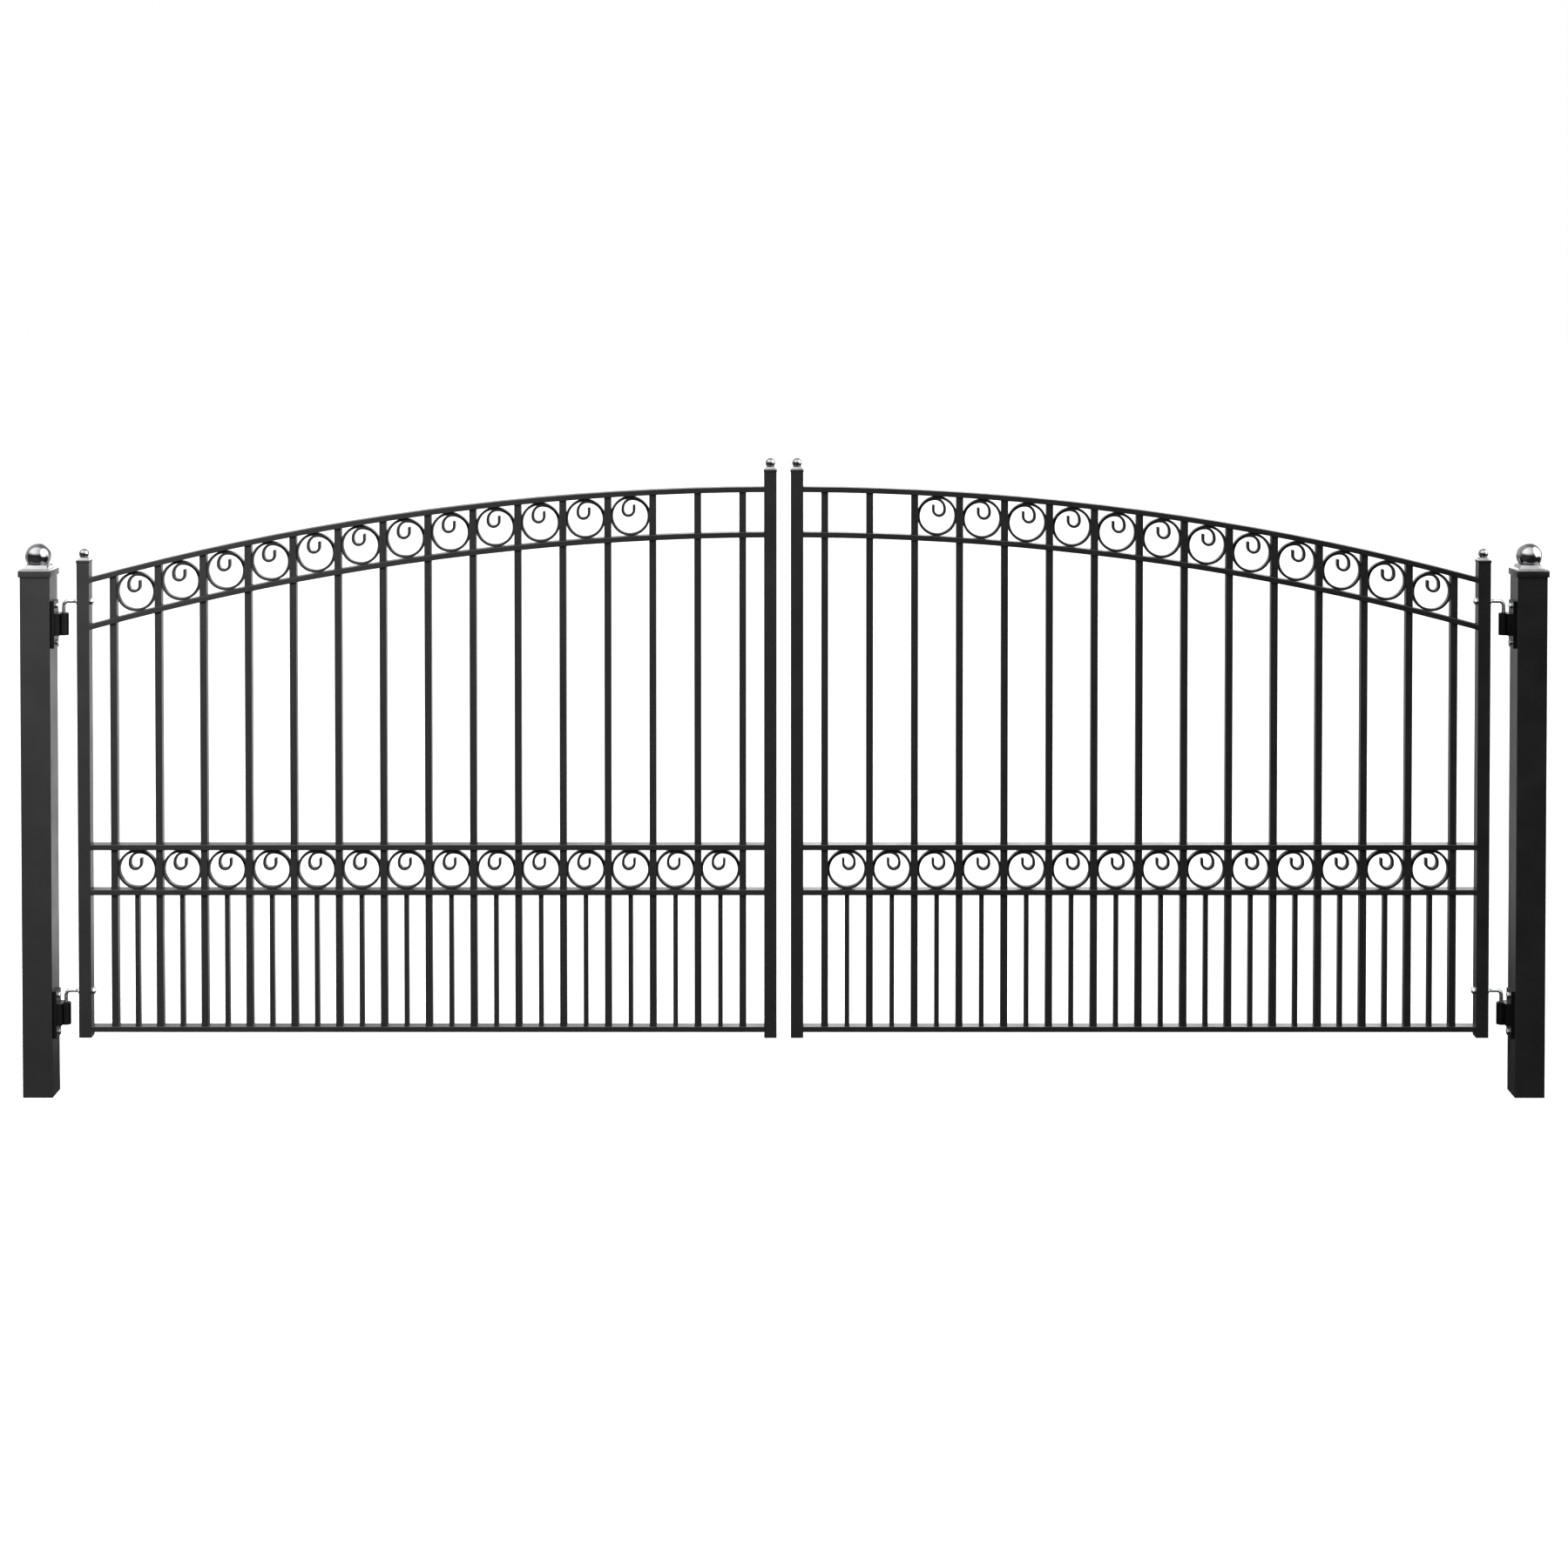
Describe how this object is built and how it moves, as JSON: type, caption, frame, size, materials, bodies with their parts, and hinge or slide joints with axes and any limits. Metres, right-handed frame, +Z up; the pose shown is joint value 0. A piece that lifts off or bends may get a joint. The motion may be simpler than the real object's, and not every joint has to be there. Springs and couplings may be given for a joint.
{
  "type": "double driveway gate",
  "caption": "Arched double-leaf steel driveway gate with pickets and scroll bands, hung on two square posts with ball caps by J-bolt hinges.",
  "frame": {"origin": "on the ground, midway between the two posts and in the middle of their depth", "axes": "+X along the gate towards the right post, -Y towards the street side, +Z up"},
  "size_m": [5.089, 0.109, 2.137],
  "materials": {
    "powder_black": "satin black powder coat",
    "hinge_black": "deeper black paint on the hinge plates and barrels",
    "gloss_black": "gloss black caps and balls",
    "zinc": "bright zinc plating on bolts and nuts",
    "bronze": "plain bearing bronze, hidden in the barrels"
  },
  "bodies": {
    "posts": {"left_post": "powder_black", "right_post": "powder_black", "left_post_cap": "gloss_black", "right_post_cap": "gloss_black", "left_post_ball": "gloss_black", "right_post_ball": "gloss_black", "left_upper_hinge_plate": "hinge_black", "left_lower_hinge_plate": "hinge_black", "right_upper_hinge_plate": "hinge_black", "right_lower_hinge_plate": "hinge_black", "left_upper_barrel": "hinge_black", "left_lower_barrel": "hinge_black", "right_upper_barrel": "hinge_black", "right_lower_barrel": "hinge_black", "left_upper_bushing": "bronze", "left_lower_bushing": "bronze", "right_upper_bushing": "bronze", "right_lower_bushing": "bronze", "left_plate_bolts": "zinc", "right_plate_bolts": "zinc"},
    "left_leaf": {"left_upper_j_bolt": "zinc", "left_lower_j_bolt": "zinc", "left_jam_nuts": "zinc", "left_stile_nuts": "zinc", "left_hinge_stile": "powder_black", "left_meeting_stile": "powder_black", "left_hinge_stile_cap": "gloss_black", "left_meeting_stile_cap": "gloss_black", "left_hinge_stile_ball": "gloss_black", "left_meeting_stile_ball": "gloss_black", "left_bottom_rail": "powder_black", "left_lower_mid_rail": "powder_black", "left_upper_mid_rail": "powder_black", "left_lower_arch_rail": "powder_black", "left_upper_arch_rail": "powder_black", "left_tall_pickets": "powder_black", "left_short_pickets": "powder_black", "left_band_scrolls": "powder_black", "left_arch_scrolls": "powder_black"},
    "right_leaf": {"right_upper_j_bolt": "zinc", "right_lower_j_bolt": "zinc", "right_jam_nuts": "zinc", "right_stile_nuts": "zinc", "right_hinge_stile": "powder_black", "right_meeting_stile": "powder_black", "right_hinge_stile_cap": "gloss_black", "right_meeting_stile_cap": "gloss_black", "right_hinge_stile_ball": "gloss_black", "right_meeting_stile_ball": "gloss_black", "right_bottom_rail": "powder_black", "right_lower_mid_rail": "powder_black", "right_upper_mid_rail": "powder_black", "right_lower_arch_rail": "powder_black", "right_upper_arch_rail": "powder_black", "right_tall_pickets": "powder_black", "right_short_pickets": "powder_black", "right_band_scrolls": "powder_black", "right_arch_scrolls": "powder_black"}
  },
  "joints": [
    {"name": "left_leaf_swing", "type": "hinge", "parent": "posts", "child": "left_leaf", "pos_m": [-2.4025, -0.011, 1], "axis": [0, 0, 1], "range_deg": [-90, 90]},
    {"name": "right_leaf_swing", "type": "hinge", "parent": "posts", "child": "right_leaf", "pos_m": [2.4025, -0.011, 1], "axis": [0, 0, 1], "range_deg": [-90, 90]}
  ]
}
